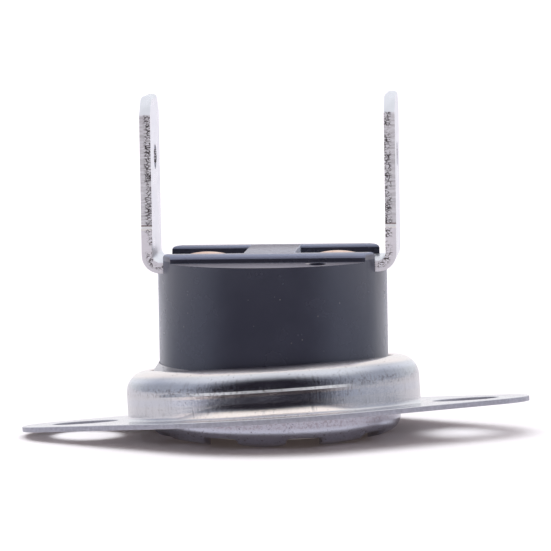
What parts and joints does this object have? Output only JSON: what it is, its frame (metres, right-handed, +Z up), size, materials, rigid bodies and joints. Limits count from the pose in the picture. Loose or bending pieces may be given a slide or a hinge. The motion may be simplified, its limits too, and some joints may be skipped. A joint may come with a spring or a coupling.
{
  "type": "limit thermostat",
  "caption": "Snap-disc limit temperature switch: black moulded housing, two upright blade terminals, crimped sensing cup with lugs and a loose steel mounting bracket.",
  "frame": {"origin": "on the switch's axis, at the plane that the cup's lugs stand on", "axes": "+Z up along the switch's axis, from the sensing cup to the terminals; X along the line of the two terminals; -Y is the front with the gate mark"},
  "size_m": [0.038, 0.0256, 0.0255],
  "materials": {
    "phenolic": "moulded, semi-matt, with fine pale dust",
    "guide_resin": "moulded, matt",
    "terminal_metal": "tinned brass, bright, with sheared edges",
    "copper": "pressed copper, satin",
    "silver": "smooth",
    "spring_bronze": "rolled strip",
    "ceramic": "fired, smooth",
    "bimetal": "rolled, satin",
    "cup_metal": "drawn, with fine rubbed marks",
    "bracket_steel": "zinc plated, bright, with faint draw lines"
  },
  "bodies": {
    "switch_body": {"housing": "phenolic", "pin_guide": "guide_resin", "terminal_left": "terminal_metal", "terminal_right": "terminal_metal", "rivet_left": "copper", "rivet_right": "copper", "fixed_contact_strip": "terminal_metal", "fixed_contact": "silver", "snap_disc": "bimetal", "sensing_cup": "cup_metal"},
    "bracket": {"mounting_bracket": "bracket_steel"},
    "pin": {"transfer_pin": "ceramic"},
    "arm": {"contact_arm": "spring_bronze", "moving_contact": "silver"}
  },
  "joints": [
    {"name": "bracket_swivel", "type": "hinge", "parent": "switch_body", "child": "bracket", "pos_m": [0, 0, 0], "axis": [0, 0, 1], "continuous": true},
    {"name": "pin_travel", "type": "slide", "parent": "switch_body", "child": "pin", "axis": [0, 0, 1], "range_m": [0, 0.00035], "stiffness_N_per_m": 2, "springref_m": -0.0005, "deforming": ["snap_disc"]},
    {"name": "arm_flex", "type": "hinge", "parent": "switch_body", "child": "arm", "pos_m": [-0.00485, 0, 0.01002], "axis": [0, -1, 0], "range_deg": [0, 4.14]}
  ],
  "couplings": [
    {"joint": "arm_flex", "follows": "pin_travel", "rad_per_m": 206.2}
  ]
}
